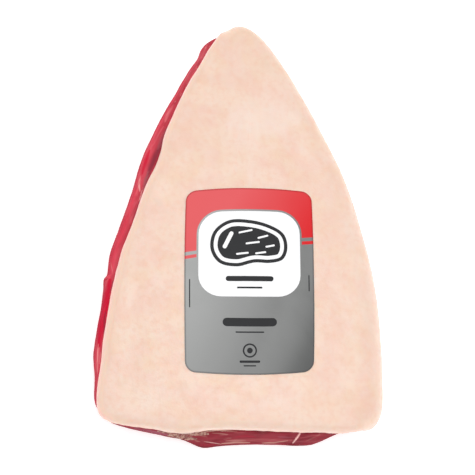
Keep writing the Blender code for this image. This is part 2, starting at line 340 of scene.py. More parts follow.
# Mostly painted purple shade in the hollow beside the fat, partly thin skin.
VIOLET = (
    (((167, 128), (163, 138), (158, 149)), 3.4, 0.8),
    (((148, 172), (145, 182), (143.5, 190)), 2.4, 0.7),
    (((134, 428.5), (150, 431.5), (170, 435.5)), 2.6, 1.0),
    (((278, 437), (290, 438)), 2.0, 0.3),
)
# Painted shade in hollows, folds and the notch, and painted shadow under the fat's edge, over a real dip in
# the surface.
PAINTED_SHADE = (
    (((167, 129), (164, 138), (160, 147), (155, 157), (150.5, 167), (147.5, 177), (145, 186)), 4.2, 0.85),
    (((159, 149), (156, 156), (151, 167), (148.5, 174)), 3.0, 0.45),
    (((145, 186), (141.5, 197), (136.5, 210), (132.5, 222)), 1.3, 0.7),
    (((200.5, 60), (199, 63), (197.5, 66)), 1.1, 0.5),
    (((198.5, 70), (197, 71.5)), 1.0, 0.8),
    (((191, 82), (189, 86)), 1.0, 0.4),
    (((104.8, 280.5), (106.5, 279), (108.5, 278)), 0.8, 0.6),
    (((113.4, 280), (111.8, 287), (109.8, 293)), 1.0, 0.8),
    (((105.4, 312), (104.6, 322), (103.6, 335)), 1.2, 1.0),
    (((102.5, 346), (101.5, 360), (100.5, 372)), 0.9, 0.35),
    (((98.3, 384), (98.5, 398), (98.8, 408)), 1.0, 0.5),
    (((114, 422), (122, 424), (129, 426.5)), 1.0, 0.6),
    (((130, 427), (142, 430), (150, 431.5)), 1.2, 0.35),
    (((256, 432), (262, 433.5), (268, 432)), 2.0, 0.7),
    (((254, 431), (264, 431.5), (275, 431)), 1.0, 0.7),
    (((276, 432), (290, 432.5)), 1.0, 0.4),
    (((303, 433.5), (320, 433.5), (336, 434)), 1.0, 0.5),
    (((316, 440), (326, 437), (334, 434.5)), 1.6, 0.55),
    (((283, 443.5), (290, 444), (296, 444)), 0.9, 0.4),
    (((170, 436.5), (178, 438.5), (188, 439.5)), 1.2, 0.5),
    (((204, 440), (214, 440), (226, 438.5)), 1.2, 0.25),
)
TORN = (
    (((158, 431), (170, 433.5), (184, 436)), 2.6, 0.8),
    (((168, 435.5), (180, 437.5), (197, 439)), 3.0, 1.0),
    (((178, 434), (192, 433.5), (208, 434)), 3.2, 1.0),
    (((198, 433), (212, 430.5), (228, 431)), 2.0, 0.9),
)
LEAN_MARKS = {
    "pale": PALE,
    "sinew": SINEW,
    "gloss": PAINTED_HIGHLIGHTS,
    "vivid": VIVID,
    "violet": VIOLET,
    "dark": PAINTED_SHADE,
    "torn": TORN,
}
# How far the marks stray from their lines, in pixels across and down.
MARKS_STRAY = (0.9, 0.4)

# Below this height the lean stays coarse, and within this reach a side has fat against it.
LEAN_FOOT = 1.5 * MM
LEAN_COVERED = 2 * MM
# Scales of the lean's relief, in waves a metre: along the outline, up and out.
LUMP_SCALE = (60, 90, 50)
FIBRE_SCALE = (90, 420, 140)
RAG_SCALE = (260, 300, 260)
STRAY_SCALE = 130
PIT_SCALE = 420
# How far each kind of relief, and each kind of mark, lifts the lean, in millimetres.
LUMP_LIFT = 0.5
FIBRE_LIFT = 0.14
PIT_LIFT = 0.06
RAG_LIFT = 1.1
RAG_SINK = 0.2
MARK_LIFT = {"pale": 0.2, "sinew": 0.3, "gloss": 0.25, "dark": -0.9}
# How much flatter the lumps are on the cut face.
CUT_CALM = 0.4


def dress_lean(outline, fat_tree):
    towards_view = np.array(view_axes()[2])

    def bare(middles, normals):
        """The sides, where no fat lies against them."""
        side = (np.abs(normals[:, 2]) < 0.9) & (middles[:, 2] > LEAN_FOOT)
        for index in np.flatnonzero(side):
            hit = fat_tree.ray_cast(Vector(middles[index]), Vector(normals[index]), LEAN_COVERED)[0]
            side[index] = hit is None
        return side

    def marked(middles, normals):
        """The places in view with thin marks."""
        wider = [(line, width + 1, 1) for line, width, _ in PALE + SINEW + TORN]
        marks = painted(shown_at(middles), wider)
        return (marks > 0.05) & (normals @ towards_view > 0) & (middles[:, 2] > LEAN_FOOT)

    piece = fine_copy("lean_meat", "lean", bare, marked)
    mesh = piece.data
    points, normals = points_of(mesh), normals_of(mesh)
    walk, out, facing = outline.place(points)
    share_up = points[:, 2] / lean_height(points)
    under = smooth_step(0.5, 0.9, -normals[:, 2])
    cut = smooth_step(0.6, 0.9, -facing[:, 1])
    side = smooth_step(0.1, 0.5, 1 - np.abs(normals[:, 2])) * smooth_step(0.6 * MM, 4 * MM, points[:, 2])

    grain = np.stack([walk, points[:, 2], out], axis=1)
    lumps = layered_noise(grain * LUMP_SCALE, 3, 2) * (1 - CUT_CALM * cut)
    fibres = layered_noise(grain * FIBRE_SCALE, 11, 3)
    pits = layered_noise(points * PIT_SCALE, 23, 2)
    lift = side * (LUMP_LIFT * lumps + FIBRE_LIFT * fibres + PIT_LIFT * pits) * MM

    shown = shown_at(points)
    wander = np.stack([gradient_noise(grain * STRAY_SCALE, seed) for seed in (61, 67)], axis=1)
    # How far each place is turned to the side that the photograph was taken from, kept in the mesh.
    open_to_view = smooth_step(0.0, 0.15, normals @ towards_view)
    # lit is painted light and shade: the meat is coloured brighter where it faces the view and darker where
    # it turns away.
    lit = smooth_step(0.12, 0.7, normals @ towards_view)
    marks = {}
    for name, strokes in LEAN_MARKS.items():
        strayed = shown if name == "sinew" else shown + MARKS_STRAY * wander
        marks[name] = painted(strayed, strokes) * open_to_view
    rags = np.abs(layered_noise(grain * RAG_SCALE, 29, 2))
    lift += side * sum(height * marks[name] for name, height in MARK_LIFT.items()) * MM
    lift += side * marks["torn"] * (RAG_LIFT * rags - RAG_SINK) * MM

    points += normals * lift[:, None]
    points[:, 2] = np.maximum(points[:, 2], 0.0)
    set_points(mesh, points)
    set_values(mesh, "grain", grain)
    for name, values in {**marks, "cut": cut, "under": under, "lit": lit, "share_up": share_up}.items():
        set_values(mesh, name, values)
    mesh.materials.append(lean_material())
    return piece


# The fat.

# Marks on the fat, in the same terms: paler patches, warmer ones, grey ones and ragged membrane.
FAT_PALE = (
    (((232, 127), (262, 116), (294, 121)), 26, 0.8),
    (((250, 130), (270, 128), (288, 134)), 14, 0.5),
    (((254, 132), (252, 160), (250, 182)), 9, 0.45),
    (((128, 385), (150, 400), (175, 396)), 16, 0.4),
    (((215, 398), (250, 405), (285, 400)), 14, 0.35),
    (((340, 300), (352, 335), (358, 370)), 10, 0.35),
    (((150, 262), (158, 285)), 9, 0.35),
    (((300, 140), (345, 230), (374, 330), (378, 400)), 15, 0.3),
    (((238, 36), (240, 62)), 14, 0.25),
    (((110, 412), (180, 424), (240, 424), (350, 424)), 9, 0.25),
)
FAT_WARM = (
    (((198, 66), (204, 84)), 12, 0.6),
    (((236, 84), (262, 88)), 12, 0.6),
    (((190, 120), (184, 142), (172, 150)), 12, 0.6),
    (((176, 100), (163, 122), (160, 142)), 9, 0.45),
    (((308, 146), (320, 160)), 9, 0.5),
    (((118, 285), (108, 330), (106, 365)), 10, 0.5),
    (((120, 306), (128, 322)), 10, 0.5),
    (((160, 305), (170, 322)), 10, 0.4),
    (((158, 362), (176, 372)), 11, 0.6),
    (((335, 300), (348, 312)), 9, 0.45),
    (((300, 404), (330, 402)), 11, 0.5),
    (((352, 415), (372, 396)), 10, 0.4),
    (((192, 427), (203, 426.5)), 3.5, 0.8),
    (((335, 210), (344, 250)), 8, 0.35),
)
FAT_GREY = (
    (((155, 201), (161, 205)), 7, 0.5),
    (((178, 382), (190, 392)), 8, 0.25),
    (((262, 60), (270, 72)), 8, 0.25),
    (((366, 300), (372, 340)), 6, 0.25),
)
FAT_TORN = (
    (((150, 431), (166, 433.5), (182, 434.5)), 1.8, 0.9),
    (((176, 434), (194, 433.5), (210, 431)), 2.1, 1.0),
    (((206, 431), (220, 430.5), (230, 431)), 1.3, 0.8),
)
FAT_MARKS = {"pale": FAT_PALE, "warm": FAT_WARM, "grey": FAT_GREY, "torn": FAT_TORN}

# Within this distance of the lean a face of the fat is its lining, and stays coarse.
FAT_LINING = 0.9 * MM
# Past this distance the lean no longer matters to a point of the fat.
FAT_RIM_REACH = 7 * MM
# Scales of the fat's relief, in waves a metre, and how far each lifts it, in millimetres.
SWELL_SCALES = (55, 120)
DIMPLE_SCALE = 330
LIP_SCALE = (160, 90, 90)
SWELL_LIFT = 0.32
DIMPLE_LIFT = 0.07
LIP_LIFT = 0.5
# How far the lining is lifted, to lie against the lean, in millimetres.
LINING_LIFT = 0.55


def dress_fat(outline, lean_tree):
    def bare(middles, normals):
        """The sides, away from the lean."""
        side = normals[:, 2] < 0.85
        for index in np.flatnonzero(side):
            side[index] = lean_tree.find_nearest(Vector(middles[index]), FAT_LINING)[0] is None
        return side

    piece = fine_copy("fat_cap", "fat", bare)
    mesh = piece.data
    points, normals = points_of(mesh), normals_of(mesh)
    nearest = [lean_tree.find_nearest(Vector(point), FAT_RIM_REACH)[3] for point in points]
    to_lean = np.array([FAT_RIM_REACH if away is None else away for away in nearest])
    walk, out, facing = outline.place(points)
    lining = 1 - smooth_step(0.45 * MM, 0.8 * MM, to_lean)
    rim = 1 - smooth_step(0.5 * MM, 6 * MM, to_lean)
    leftward = smooth_step(0.1, 0.6, -facing[:, 0])
    # The shoulder is painted light: it brightens the rolled slope along the left side, which would fall into
    # shade.
    tilted = smooth_step(0.2, 0.7, normals[:, 2]) * (1 - smooth_step(0.9, 0.995, normals[:, 2]))
    shoulder_light = tilted * leftward * smooth_step(-16 * MM, -3 * MM, out)
    # The brim is a painted highlight along the fat's left edge, stored with the rim's pink tint.
    brim_highlight = leftward * smooth_step(-2.2 * MM, -0.6 * MM, out)

    broad, narrow = SWELL_SCALES
    swells = gradient_noise(points * broad, 31) + 0.5 * gradient_noise(points * narrow, 37)
    dimples = layered_noise(points * DIMPLE_SCALE, 41, 2)
    lift = (1 - lining) * (SWELL_LIFT * swells + DIMPLE_LIFT * dimples) * MM
    grain = np.stack([walk, points[:, 2], out], axis=1)
    lift += rim * (1 - lining) * (LIP_LIFT * layered_noise(grain * LIP_SCALE, 47, 3)) * MM
    lift += lining * LINING_LIFT * MM

    shown = shown_at(points)
    set_values(mesh, "rim", np.maximum(rim, brim_highlight))
    set_values(mesh, "shoulder_light", shoulder_light)
    for name, strokes in FAT_MARKS.items():
        set_values(mesh, name, painted(shown, strokes))
    points += normals * lift[:, None]
    set_points(mesh, points)
    mesh.materials.append(fat_material())
    return piece


# The label. Its sizes are in millimetres, and places on it are from its middle.

LABEL_SIZE = (81.2, 121.0)
LABEL_CORNER = 6.5
# How far the middle of each side is bowed out, and how far the whole is out of square.
LABEL_BOW = (0.9, 2.4)
LABEL_SKEW = (0.006, 0.032)
# How high its face is above the fat, and how thick it is.
LABEL_RISE = 0.32
LABEL_FILM = 0.2
# How far apart its corners are, and how far in from its edge extra rows and the inner grid lie.
LABEL_SPACING = 2.0
LABEL_ROWS = (0.5, 1.2, 2.2)
LABEL_GRID_INSET = 3.0
# A height above all of the piece, in metres, from which the label is let down onto the fat.
ABOVE_ALL = 0.2

# The printed colours: the tones at the label's upper left and lower right, where the change between them
# begins and ends along its slant in metres, and how metallic and how shiny each is. The change from the
# lighter upper left to the darker lower right is a painted reflection on the foil, strongest on the silver.
PRINTS = {
    "silver": ((0.36, 0.365, 0.36), (0.05, 0.052, 0.051), -0.055, 0.09, 0.25, 0.5),
    "red": ((0.69, 0.092, 0.100), (0.63, 0.002, 0.006), -0.01, 0.05, 0.0, 0.2),
    "white": ((0.86, 0.86, 0.87), (0.83, 0.83, 0.84), -0.055, 0.07, 0.0, 0.5),
    "ink": ((0.022, 0.023, 0.025), (0.013, 0.013, 0.015), -0.055, 0.07, 0.0, 0.15),
}

# The red bands: their lower and upper sides at the middle, the first one's past the label's top, and how
# steeply they rise to the right.
BANDS = ((24.0, 81.2), (19.4, 21.6))
BAND_RISE = 0.13
# The white panel, its corners' radius, and the silver rim round it.
PANEL = (-32.0, -11.0, 32.0, 45.0)
PANEL_CORNER = 14.0
PANEL_RIM = 1.2
STEAK_MIDDLE = (0.0, 22.5)
# Plain bars: the middle, the length, the width and the turn in degrees.
BARS = (
    ((0.0, 0.6), 30.0, 3.4, 0),
    ((0.0, -5.2), 16.0, 1.2, 0),
    ((0.0, -27.5), 34.0, 5.4, 0),
    ((0.0, -33.8), 18.0, 0.9, 0),
    ((0.0, -52.4), 13.0, 1.5, 0),
    ((0.0, -55.0), 8.0, 0.8, 0),
    ((-37.4, -9.0), 19.0, 0.7, 90),
    ((37.4, -2.0), 11.0, 0.7, 90),
)
# A round badge of discs, one on another.
BADGE_MIDDLE = (0.0, -45.4)
BADGE_DISCS = ((9.0, "ink"), (7.0, "silver"), (3.6, "ink"))
# A steak's outline, how far its rim and its meat are drawn in from it, and the marks on the meat, which
# are the bone and the marbling: the place, the length, the width and the turn.
STEAK_LINE = (
    (24.0, -1.0), (21.5, 8.0), (12.5, 13.5), (0.0, 16.5), (-13.0, 16.5), (-22.5, 9.5),
    (-24.5, -2.0), (-19.0, -11.5), (-8.0, -14.0), (3.0, -11.5), (13.0, -11.5), (21.0, -9.0),
)
STEAK_RIM = 2.2
STEAK_MEAT = 4.6
STEAK_MARKS = (
    (-13.5, 3.5, 12.0, 2.6, 64),
    (-2.5, 9.0, 9.0, 1.2, 12),
    (8.5, 5.5, 7.0, 1.2, 16),
    (2.0, 1.5, 9.0, 1.2, 8),
    (13.0, -0.5, 6.0, 1.2, 12),
    (-4.5, -5.5, 8.0, 1.2, 6),
    (7.0, -5.0, 7.0, 1.2, 9),
)


def rounded_box(x0, y0, x1, y1, corner, steps=8):
    """A box's outline with rounded corners, anticlockwise."""
    points = []
    for x, y, start in (
        (x1 - corner, y1 - corner, 0),
        (x0 + corner, y1 - corner, 90),
        (x0 + corner, y0 + corner, 180),
        (x1 - corner, y0 + corner, 270),
    ):
        for step in range(steps + 1):
            angle = math.radians(start + 90 * step / steps)
            points.append((x + corner * math.cos(angle), y + corner * math.sin(angle)))
    return points


def divided(points, spacing):
    """The same closed line with points at most this far apart."""
    dense = []
    for here, there in zip(points, points[1:] + points[:1]):
        steps = max(1, math.ceil(math.dist(here, there) / spacing))
        dense += [
            (here[0] + (there[0] - here[0]) * step / steps, here[1] + (there[1] - here[1]) * step / steps)
            for step in range(steps)
        ]
    return dense


def smooth_loop(points, steps=8):
    """A smooth closed line through the points."""
    points = np.array(points)
    before, after, later = (np.roll(points, turn, axis=0) for turn in (1, -1, -2))
    rows = []
    for step in range(steps):
        t = step / steps
        straight = 2 * points + (after - before) * t
        bent = (2 * before - 5 * points + 4 * after - later) * t**2
        rows.append((straight + bent + (3 * points - before - 3 * after + later) * t**3) / 2)
    return np.stack(rows, axis=1).reshape(-1, 2)


def drawn_in(line, distance):
    """A closed anticlockwise line moved inwards."""
    along = unit(np.roll(line, -1, axis=0) - np.roll(line, 1, axis=0))
    return line + distance * np.stack([-along[:, 1], along[:, 0]], axis=1)


def disc(middle, size, steps=24):
    """A circle's outline."""
    angles = np.arange(steps) * 2 * math.pi / steps
    return np.array(middle) + size / 2 * np.stack([np.cos(angles), np.sin(angles)], axis=1)


def turned(points, degrees, middle):
    """The points turned round a middle."""
    cos, sin = math.cos(math.radians(degrees)), math.sin(math.radians(degrees))
    placed = []
    for point in points:
        x, y = point[0] - middle[0], point[1] - middle[1]
        placed.append((middle[0] + x * cos - y * sin, middle[1] + x * sin + y * cos))
    return placed


def bar(middle, length, width, degrees=0.0):
    """A bar with round ends."""
    x, y = middle
    box = rounded_box(x - length / 2, y - width / 2, x + length / 2, y + width / 2, 0.48 * width, 4)
    return turned(box, degrees, middle)


def steak_fields(middle):
    """A steak in a few plain shapes: its outline, its rim of fat, the meat, the bone and the marbling."""
    line = smooth_loop(STEAK_LINE) + middle
    fields = [(line, "ink"), (drawn_in(line, STEAK_RIM), "white"), (drawn_in(line, STEAK_MEAT), "ink")]
    for x, y, length, width, degrees in STEAK_MARKS:
        fields.append((bar((middle[0] + x, middle[1] + y), length, width, degrees), "white"))
    return fields


def label_fields():
    """The label's printed fields, each over the ones before it: an outline and a colour."""
    half_width, half_height = LABEL_SIZE[0] / 2, LABEL_SIZE[1] / 2
    far = LABEL_SIZE[0]
    rise = BAND_RISE * far
    x0, y0, x1, y1 = PANEL
    panel = rounded_box(*PANEL, PANEL_CORNER)
    around = (x0 - PANEL_RIM, y0 - PANEL_RIM, x1 + PANEL_RIM, y1 + PANEL_RIM)
    fields = [(rounded_box(-half_width, -half_height, half_width, half_height, LABEL_CORNER), "silver")]
    for low, high in BANDS:
        band = [(-far, low - rise), (far, low + rise), (far, high + rise), (-far, high - rise)]
        fields.append((band, "red"))
    fields += [(rounded_box(*around, PANEL_CORNER + PANEL_RIM), "silver"), (panel, "white")]
    fields += steak_fields(STEAK_MIDDLE)
    fields += [(bar(*values), "ink") for values in BARS]
    fields += [(disc(BADGE_MIDDLE, size), colour) for size, colour in BADGE_DISCS]
    return fields


def from_label_edge(x, y):
    """How far inside the label's edge a point of its print is, in millimetres."""
    beyond_x = abs(x) - (LABEL_SIZE[0] / 2 - LABEL_CORNER)
    beyond_y = abs(y) - (LABEL_SIZE[1] / 2 - LABEL_CORNER)
    corner = math.hypot(max(beyond_x, 0), max(beyond_y, 0))
    return LABEL_CORNER - corner - min(max(beyond_x, beyond_y), 0)


def label_place(x, y, middle):
    """Where a point of the print comes in plan: the sides bowed, and the whole a little out of square."""
    half_width, half_height = LABEL_SIZE[0] / 2, LABEL_SIZE[1] / 2
    bowed_x = x + LABEL_BOW[0] * (1 - (y / half_height) ** 2) * x / half_width
    bowed_y = y + LABEL_BOW[1] * (1 - (x / half_width) ** 2) * y / half_height
    return (
        middle.x + (bowed_x + LABEL_SKEW[0] * bowed_y) * MM,
        middle.y + (bowed_y + LABEL_SKEW[1] * bowed_x) * MM,
    )


def label_plan(fields):
    """The print divided into triangles along its fields' edges: the points, and each triangle's field."""
    points, loops = [], []
    for loop, _ in fields:
        dense = divided([tuple(point) for point in loop], LABEL_SPACING)
        loops.append(list(range(len(points), len(points) + len(dense))))
        points += [Vector(point) for point in dense]
    half_width, half_height = LABEL_SIZE[0] / 2, LABEL_SIZE[1] / 2
    for inset in LABEL_ROWS:
        x, y = half_width - inset, half_height - inset
        row = rounded_box(-x, -y, x, y, LABEL_CORNER - inset)
        points += [Vector(point) for point in divided(row, LABEL_SPACING)]
    reach = LABEL_SPACING * (half_height // LABEL_SPACING)
    grid = np.arange(-reach, reach + 1, LABEL_SPACING)
    points += [Vector((x, y)) for x in grid for y in grid if from_label_edge(x, y) > LABEL_GRID_INSET]
    plan, _, faces, _, _, owners = delaunay_2d_cdt(points, [], loops, 0, 1e-4)
    return plan, [(face, max(owner)) for face, owner in zip(faces, owners) if owner and 0 in owner]


def close_sides(mesh, twins):
    """Joins the border of a sheet's upper face to its lower one."""
    for border in [border for border in mesh.edges if border.is_boundary and border.verts[0] in twins]:
        loop = border.link_loops[0]
        start, end = loop.vert, loop.link_loop_next.vert
        wall = mesh.faces.new((end, start, twins[start], twins[end]))
        wall.material_index = loop.face.material_index


def dress_label(fat_tree):
    fields = label_fields()
    plan, triangles = label_plan(fields)
    middle = sum(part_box("label"), Vector()) / 2
    names = list(PRINTS)
    mesh = bmesh.new()
    edge = mesh.verts.layers.float.new("edge")
    upper, lower = {}, {}
    for index in sorted({index for corners, _ in triangles for index in corners}):
        x, y = label_place(*plan[index], middle)
        below = fat_tree.ray_cast(Vector((x, y, ABOVE_ALL)), Vector((0, 0, -1)))[0]
        for side, rise in ((upper, LABEL_RISE), (lower, LABEL_RISE - LABEL_FILM)):
            side[index] = mesh.verts.new((x, y, below.z + rise * MM))
            side[index][edge] = from_label_edge(*plan[index])
    for corners, field in triangles:
        face = mesh.faces.new([upper[index] for index in corners])
        face.material_index = names.index(fields[field][1])
        mesh.faces.new([lower[index] for index in reversed(corners)])
    close_sides(mesh, {upper[index]: lower[index] for index in upper})
    data = bpy.data.meshes.new("label_print")
    mesh.to_mesh(data)
    mesh.free()
    data.shade_smooth()
    data.set_sharp_from_angle(angle=math.radians(40))
    for name, values in PRINTS.items():
        data.materials.append(print_material(name + "_print", *values))
    piece = bpy.data.objects.new("label_print", data)
    bpy.context.scene.collection.objects.link(piece)
    return piece


# Materials.


class Nodes:
    """A material's nodes, made one after another and linked as they are made."""

    def __init__(self, name):
        self.material = bpy.data.materials.new(name)
        self.material.use_nodes = True
        self.tree = self.material.node_tree
        self.shader = self.tree.nodes["Principled BSDF"]

    def put(self, socket, value):
        if isinstance(value, bpy.types.NodeSocket):
            self.tree.links.new(value, socket)
        elif isinstance(value, tuple) and len(value) == 3 and socket.type == "RGBA":
            socket.default_value = (*value, 1.0)
        else:
            socket.default_value = value

    def make(self, kind, values=(), **settings):
        node = self.tree.nodes.new("ShaderNode" + kind)
        for key, value in settings.items():
            setattr(node, key, value)
        for key, value in dict(values).items():
            self.put(node.inputs[key], value)
        return node.outputs

    def math(self, operation, first, second=0.0):
        return self.make("Math", {0: first, 1: second}, operation=operation)[0]

    def place(self, scale=(1.0, 1.0, 1.0)):
        """The object's own coordinates, in metres, scaled."""
        return self.scaled(self.make("TexCoord")["Object"], scale)

    def scaled(self, vector, scale):
        return self.make("VectorMath", {0: vector, 1: scale}, operation="MULTIPLY")[0]

    def value(self, name):
        return self.make("Attribute", attribute_name=name)["Fac"]

    def vector(self, name):
        return self.make("Attribute", attribute_name=name)["Vector"]

    def noise(self, vector, scale, detail=2.0, roughness=0.5):
        values = {"Vector": vector, "Scale": scale, "Detail": detail, "Roughness": roughness}
        return self.make("TexNoise", values)[0]

    def between(self, value, low, high, start=0.0, end=1.0):
        values = {0: value, 1: low, 2: high, 3: start, 4: end}
        return self.make("MapRange", values, interpolation_type="SMOOTHSTEP")[0]

    def mix(self, share, first, second):
        return self.make("Mix", {0: share, 6: first, 7: second}, data_type="RGBA")[2]

    def over(self, colour, tint, share, amount):
        """The colour with a tint over it, by a share of this amount."""
        return self.mix(self.math("MULTIPLY", share, amount), colour, tint)

    def blend(self, share, first, second):
        return self.make("Mix", {0: share, 2: first, 3: second}, data_type="FLOAT")[0]

    def bump(self, height, strength, distance):
        return self.make("Bump", {"Height": height, "Strength": strength, "Distance": distance})[0]

    def torn_over(self, colour, tones, rag_place, shred_place, raggedness, start, amount):
        """The colour with ragged membrane of two tones over it, where the surface is marked as torn."""
        marked = self.value("torn")
        rags = self.noise(rag_place, 1.0, 4.0, 0.7)
        shreds = self.noise(shred_place, 1.0, 3.0, 0.75)
        uneven = self.math("MULTIPLY", self.math("SUBTRACT", rags, 0.5), raggedness)
        left_on = self.between(self.math("ADD", marked, uneven), start, start + 0.4, 0.0, amount)
        left_on = self.math("MULTIPLY", left_on, self.between(marked, 0.02, 0.2))
        return self.mix(left_on, colour, self.mix(self.between(shreds, 0.38, 0.64), *tones))

    def finish(self, **values):
        for key, value in values.items():
            self.put(self.shader.inputs[key.replace("_", " ").title().replace("Ior", "IOR")], value)
        return self.material


# The fat's colours, and those of its marks with how strong each is.
FAT_BASE = ((0.770, 0.552, 0.417), (0.770, 0.529, 0.433))
FAT_LIGHT = (0.80, 0.63, 0.53)
FAT_PATCH = (0.79, 0.61, 0.51)
FAT_SPECK = (0.755, 0.475, 0.355)
FAT_TINTS = {
    "pale": ((0.81, 0.67, 0.59), 0.6),
    "warm": ((0.76, 0.475, 0.35), 0.5),
    "grey": ((0.66, 0.50, 0.40), 0.5),
    # The shoulder's tint is painted light on the rolled left slope.
    "shoulder_light": ((0.83, 0.60, 0.47), 0.85),
    # The rim's tint is the fat's pink beside the lean, and a painted highlight along the fat's left edge.
    "rim": ((0.90, 0.51, 0.45), 0.6),
}
FAT_MEMBRANE = ((0.34, 0.15, 0.13), (0.66, 0.43, 0.36))
# How fine the patterns in the fat are, in waves a metre.
TINT_WAVES = 62.0
LIGHT_WAVES = 44.0
PATCH_WAVES = 120.0
SPECK_WAVES = 300.0
GRAIN_WAVES = 700.0
FAT_RAG_WAVES = (230.0, 200.0, 110.0)
FAT_SHRED_WAVES = (420.0, 400.0, 200.0)


def fat_material():
    nodes = Nodes("beef_fat")
    place = nodes.place()
    mirrored = nodes.place((1.0, -1.0, 1.0))
    tint = nodes.between(nodes.noise(mirrored, TINT_WAVES, 2.0), 0.36, 0.64)
    light = nodes.between(nodes.noise(place, LIGHT_WAVES, 2.0), 0.38, 0.66)
    patches = nodes.between(nodes.noise(place, PATCH_WAVES, 3.0), 0.38, 0.68)
    specks = nodes.between(nodes.noise(place, SPECK_WAVES, 2.0), 0.4, 0.75)
    colour = nodes.mix(tint, *FAT_BASE)
    colour = nodes.over(colour, FAT_LIGHT, light, 0.55)
    colour = nodes.over(colour, FAT_PATCH, patches, 0.45)
    colour = nodes.over(colour, FAT_SPECK, specks, 0.4)
    for name, (mark, amount) in FAT_TINTS.items():
        colour = nodes.over(colour, mark, nodes.value(name), amount)
    rags, shreds = nodes.place(FAT_RAG_WAVES), nodes.place(FAT_SHRED_WAVES)
    colour = nodes.torn_over(colour, FAT_MEMBRANE, rags, shreds, 2.4, 0.3, 0.7)
    grain = nodes.noise(place, GRAIN_WAVES, 3.0)
    nodes.shader.subsurface_method = "RANDOM_WALK"
    return nodes.finish(
        base_color=colour,
        roughness=nodes.between(specks, 0.0, 1.0, 0.36, 0.5),
        subsurface_weight=0.25,
        subsurface_radius=(0.0035, 0.0016, 0.001),
        subsurface_scale=1.0,
        normal=nodes.bump(grain, 0.25, 0.0004),
    )


# The lean's colours. Each of these pairs is the darker and the brighter tone of one thing.
# The first two pairs are the meat in painted shade and in painted light, chosen between by the lit value.
LEAN_UNLIT = ((0.36, 0.022, 0.040), (0.48, 0.040, 0.064))
LEAN_LIT = ((0.60, 0.054, 0.082), (0.75, 0.086, 0.122))
LEAN_CUT = ((0.19, 0.016, 0.026), (0.27, 0.028, 0.042))
LEAN_MEMBRANE = ((0.18, 0.056, 0.052), (0.53, 0.33, 0.265))
LEAN_BAND = (0.76, 0.105, 0.145)
# Painted shade under the fat's edge, partly the darker oxidised edge of the meat.
LEAN_OXIDE_AND_SHADE = (0.17, 0.018, 0.022)
LEAN_CUT_FIBRE = (0.34, 0.066, 0.078)
LEAN_TENDON = (0.80, 0.46, 0.43)
# These pairs are for the outer side and for the cut face.
LEAN_FILM = ((0.66, 0.19, 0.22), (0.34, 0.090, 0.10))
LEAN_MARBLING = ((0.70, 0.30, 0.30), (0.50, 0.22, 0.20))
# The next pair is a painted highlight on the wet crests.
LEAN_HIGHLIGHT = ((0.84, 0.22, 0.24), (0.44, 0.10, 0.11))
# The next pair is painted shade in hollows and folds and painted shadow under the fat's edge.
LEAN_HOLLOW_SHADE = ((0.24, 0.036, 0.056), (0.15, 0.026, 0.030))
# The next pair is mostly painted purple shade beside the fat, partly thin skin.
LEAN_SKIN_AND_SHADE = ((0.38, 0.15, 0.17), (0.30, 0.100, 0.140))
# The pale pair serves membrane and fat, and also the painted glints on the lobes.
LEAN_PALE = ((0.86, 0.42, 0.40), (0.56, 0.29, 0.24))
# The freshest red: on the outer side, first in painted shade and then in painted light, and on the cut face.
LEAN_FRESHEST = ((0.40, 0.008, 0.036), (0.58, 0.005, 0.033))
LEAN_FRESHEST_CUT = (0.36, 0.012, 0.034)
# How fine the patterns in the lean are, in waves a metre: along the outline, up and out. Those on the
# underside go by the object's own axes.
FIBRE_WAVES = (60.0, 480.0, 240.0)
UNDER_WAVES = (420.0, 50.0, 50.0)
BAND_WAVES = (26.0, 110.0, 70.0)
FILM_WAVES = (34.0, 90.0, 60.0)
FLECK_WAVES = (70.0, 520.0, 300.0)
RAG_WAVES = (210.0, 110.0, 200.0)
SHRED_WAVES = (420.0, 200.0, 400.0)
BROAD_WAVES = 55.0


def lean_flesh(nodes, grain, fibres, bands):
    """The bare meat in painted light and painted shade, by the mesh's lit value, and dark on the cut face.
    """
    cut = nodes.value("cut")
    broad = nodes.noise(nodes.place(), BROAD_WAVES, 2.0)
    deep = nodes.mix(nodes.between(fibres, 0.3, 0.7), *LEAN_UNLIT)
    bright = nodes.mix(nodes.between(fibres, 0.3, 0.7), *LEAN_LIT)
    bright = nodes.mix(nodes.between(bands, 0.42, 0.62, 0.0, 0.6), bright, LEAN_BAND)
    colour = nodes.mix(nodes.value("lit"), deep, bright)
    on_cut = nodes.mix(nodes.between(broad, 0.35, 0.65), *LEAN_CUT)
    on_cut = nodes.mix(nodes.between(fibres, 0.45, 0.75, 0.0, 0.55), on_cut, LEAN_CUT_FIBRE)
    colour = nodes.mix(cut, colour, on_cut)
    # A darker band at the top of the lean, just under the fat: painted shade under the fat's edge, partly
    # darker oxidised meat.
    oxide_and_shade = nodes.between(nodes.value("share_up"), 0.8, 0.93, 0.0, 0.38)
    colour = nodes.mix(oxide_and_shade, colour, LEAN_OXIDE_AND_SHADE)
    film = nodes.noise(nodes.scaled(grain, FILM_WAVES), 1.0, 3.0, 0.6)
    colour = nodes.mix(nodes.between(film, 0.56, 0.74, 0.0, 0.35), colour, nodes.mix(cut, *LEAN_FILM))
    flecks = nodes.noise(nodes.scaled(grain, FLECK_WAVES), 1.0, 3.0, 0.6)
    return nodes.mix(nodes.between(flecks, 0.63, 0.74, 0.0, 0.5), colour, nodes.mix(cut, *LEAN_MARBLING))


